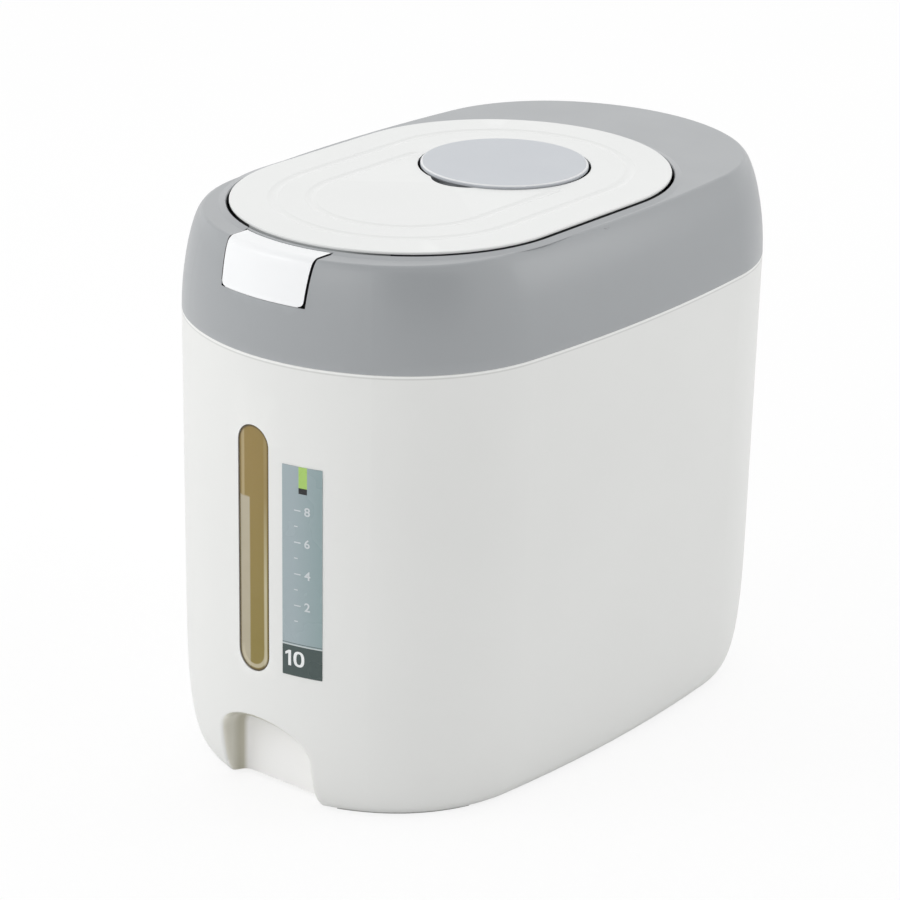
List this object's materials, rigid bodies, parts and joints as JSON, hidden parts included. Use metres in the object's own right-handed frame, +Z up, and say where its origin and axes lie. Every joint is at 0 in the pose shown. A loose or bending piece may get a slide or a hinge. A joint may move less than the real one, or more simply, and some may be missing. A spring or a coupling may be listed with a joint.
{
  "type": "rice dispenser bin",
  "caption": "Tall oval rice bin with a grey collar, white flip lid, front push latch, level window, hand hold and measuring cup stowed in the lid.",
  "frame": {"origin": "on the floor plane, under the middle of the tub's box", "axes": "+Z up, the front with window and latch faces -Y, length along Y, width along X"},
  "size_m": [0.211, 0.34, 0.2885],
  "materials": {
    "tub_plastic": "satin warm white, fine moulded grain",
    "collar_plastic": "satin mid grey",
    "lid_plastic": "soft gloss white",
    "latch_plastic": "gloss white",
    "cup_plastic": "satin pale grey",
    "window_plastic": "clear amber plastic",
    "label_film": "printed film",
    "liner_plastic": "satin white",
    "frame_plastic": "satin grey",
    "seal_rubber": "pale silicone",
    "foot_rubber": "dark grey rubber",
    "screw_steel": "plated",
    "pin_steel": "ground",
    "spring_steel": "spring wire"
  },
  "bodies": {
    "bin": {"tub_shell": "tub_plastic", "foot_front_left": "foot_rubber", "foot_front_right": "foot_rubber", "foot_rear_left": "foot_rubber", "foot_rear_right": "foot_rubber", "window_pane": "window_plastic", "window_gasket": "seal_rubber", "window_clamp": "tub_plastic", "level_label": "label_film", "collar": "collar_plastic", "inner_frame": "frame_plastic", "throat_ring": "frame_plastic", "hinge_bracket": "frame_plastic", "latch_bracket": "frame_plastic", "frame_gasket": "seal_rubber", "frame_screws": "screw_steel", "hinge_pin": "pin_steel", "hinge_spring_left": "spring_steel", "hinge_spring_right": "spring_steel", "latch_pin": "pin_steel", "latch_spring": "spring_steel"},
    "lid": {"lid_panel": "lid_plastic", "lid_liner": "liner_plastic", "lid_plug": "liner_plastic", "lid_seal": "seal_rubber", "cup_well": "liner_plastic", "lid_nose": "liner_plastic", "lid_arm_left": "liner_plastic", "lid_arm_right": "liner_plastic"},
    "latch": {"latch_button": "latch_plastic", "latch_arm_left": "latch_plastic", "latch_arm_right": "latch_plastic", "latch_hook": "latch_plastic"},
    "cup": {"measuring_cup": "cup_plastic"}
  },
  "joints": [
    {"name": "lid_hinge", "type": "hinge", "parent": "bin", "child": "lid", "pos_m": [0, 0.115, 0.277], "axis": [-1, 0, 0], "range_deg": [0, 88]},
    {"name": "latch_press", "type": "hinge", "parent": "bin", "child": "latch", "pos_m": [0, -0.1565, 0.2765], "axis": [1, 0, 0], "range_deg": [0, 4.5], "stiffness_Nm_per_rad": 0.6, "springref_deg": -1.72, "deforming": ["latch_spring"]},
    {"name": "cup_lift", "type": "slide", "parent": "lid", "child": "cup", "axis": [0, 0, 1], "range_m": [0, 0.06]}
  ]
}
